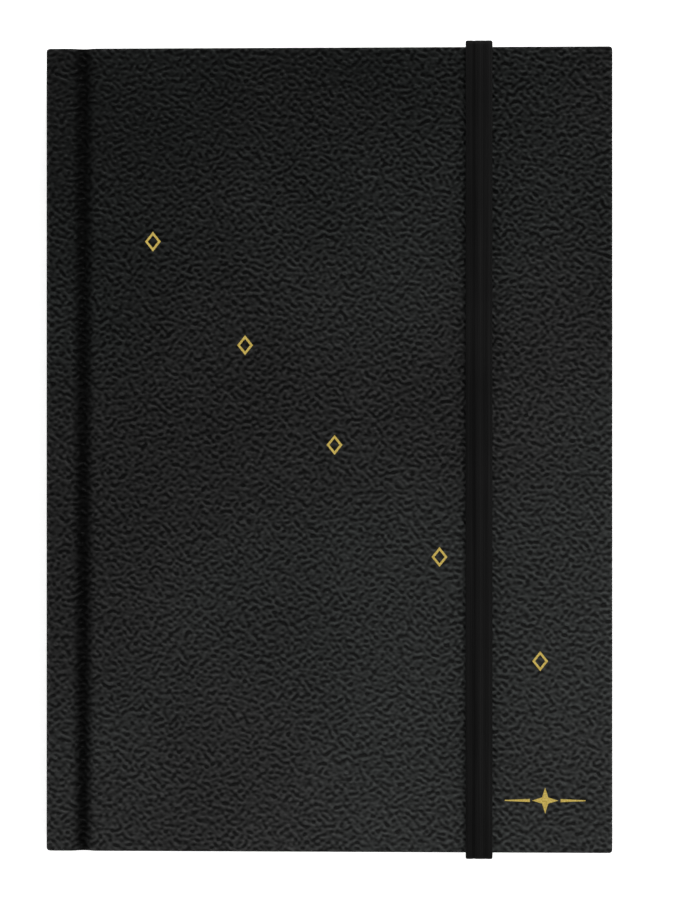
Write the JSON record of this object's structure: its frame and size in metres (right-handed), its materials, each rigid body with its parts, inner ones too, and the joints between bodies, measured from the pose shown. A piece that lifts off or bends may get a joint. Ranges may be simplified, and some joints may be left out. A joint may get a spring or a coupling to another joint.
{
  "type": "pilot logbook",
  "caption": "Hardcover A5 logbook with sewn signatures, grained dark leather cover, hinge grooves and an elastic strap; opens flat on coupled hinges.",
  "frame": {"origin": "centre of the closed book's resting face, on the outside of the back cover", "axes": "+X from the spine to the fore edge, +Y from the tail to the head, +Z out of the front cover"},
  "size_m": [0.148, 0.2132, 0.0191],
  "materials": {
    "cover_leather": "dark charcoal leather with a raised pebble grain, satin",
    "gold_foil": "hot-stamped gold foil, satin",
    "elastic_webbing": "black woven elastic webbing with lengthwise ribs, matte",
    "page_paper": "off-white writing paper, matte",
    "endpaper": "ivory endpaper, matte",
    "greyboard": "grey bookbinder's board, matte",
    "mull_cloth": "open-weave cotton mull, matte",
    "kraft_lining": "brown kraft paper, matte",
    "linen_thread": "waxed linen thread, matte",
    "silk_band": "black and white striped silk end band, satin"
  },
  "bodies": {
    "back_case": {"back_board": "greyboard", "back_cover_skin": "cover_leather", "back_joint_strip": "greyboard", "back_mull_flap": "mull_cloth", "back_pastedown": "endpaper", "strap_head_end": "elastic_webbing", "strap_tail_end": "elastic_webbing", "strap_head_leg": "elastic_webbing", "strap_tail_leg": "elastic_webbing", "back_flyleaf": "endpaper", "signature_07": "page_paper", "signature_08": "page_paper", "signature_09": "page_paper", "signature_10": "page_paper", "signature_11": "page_paper", "signature_12": "page_paper"},
    "spine": {"spine_board": "greyboard", "spine_skin": "cover_leather", "spine_lining": "kraft_lining", "spine_mull": "mull_cloth", "sewing_thread": "linen_thread", "headband": "silk_band", "tailband": "silk_band"},
    "front_case": {"front_board": "greyboard", "front_cover_skin": "cover_leather", "front_joint_strip": "greyboard", "front_mull_flap": "mull_cloth", "front_pastedown": "endpaper", "foil_lozenges": "gold_foil", "foil_emblem": "gold_foil"},
    "front_pages": {"front_flyleaf": "endpaper", "signature_01": "page_paper", "signature_02": "page_paper", "signature_03": "page_paper", "signature_04": "page_paper", "signature_05": "page_paper", "signature_06": "page_paper"},
    "elastic": {"strap_front_span": "elastic_webbing"}
  },
  "joints": [
    {"name": "spine_hinge", "type": "hinge", "parent": "back_case", "child": "spine", "pos_m": [-0.074, 0, 0], "axis": [0, -1, 0], "range_deg": [0, 90]},
    {"name": "front_cover_hinge", "type": "hinge", "parent": "spine", "child": "front_case", "pos_m": [-0.074, 0, 0.01776], "axis": [0, -1, 0], "range_deg": [0, 90]},
    {"name": "front_pages_hinge", "type": "hinge", "parent": "spine", "child": "front_pages", "pos_m": [-0.074, 0, 0.01776], "axis": [0, -1, 0], "range_deg": [0, 90]},
    {"name": "elastic_slip", "type": "slide", "parent": "back_case", "child": "elastic", "axis": [0, 0, -1], "range_m": [0, 0.009], "deforming": ["strap_front_span", "strap_head_leg", "strap_tail_leg"]}
  ],
  "couplings": [
    {"joint": "spine_hinge", "follows": "front_cover_hinge", "ratio": 1},
    {"joint": "front_pages_hinge", "follows": "front_cover_hinge", "ratio": 1},
    {"joint": "elastic_slip", "follows": "front_cover_hinge", "m_per_rad": 0.0056}
  ]
}
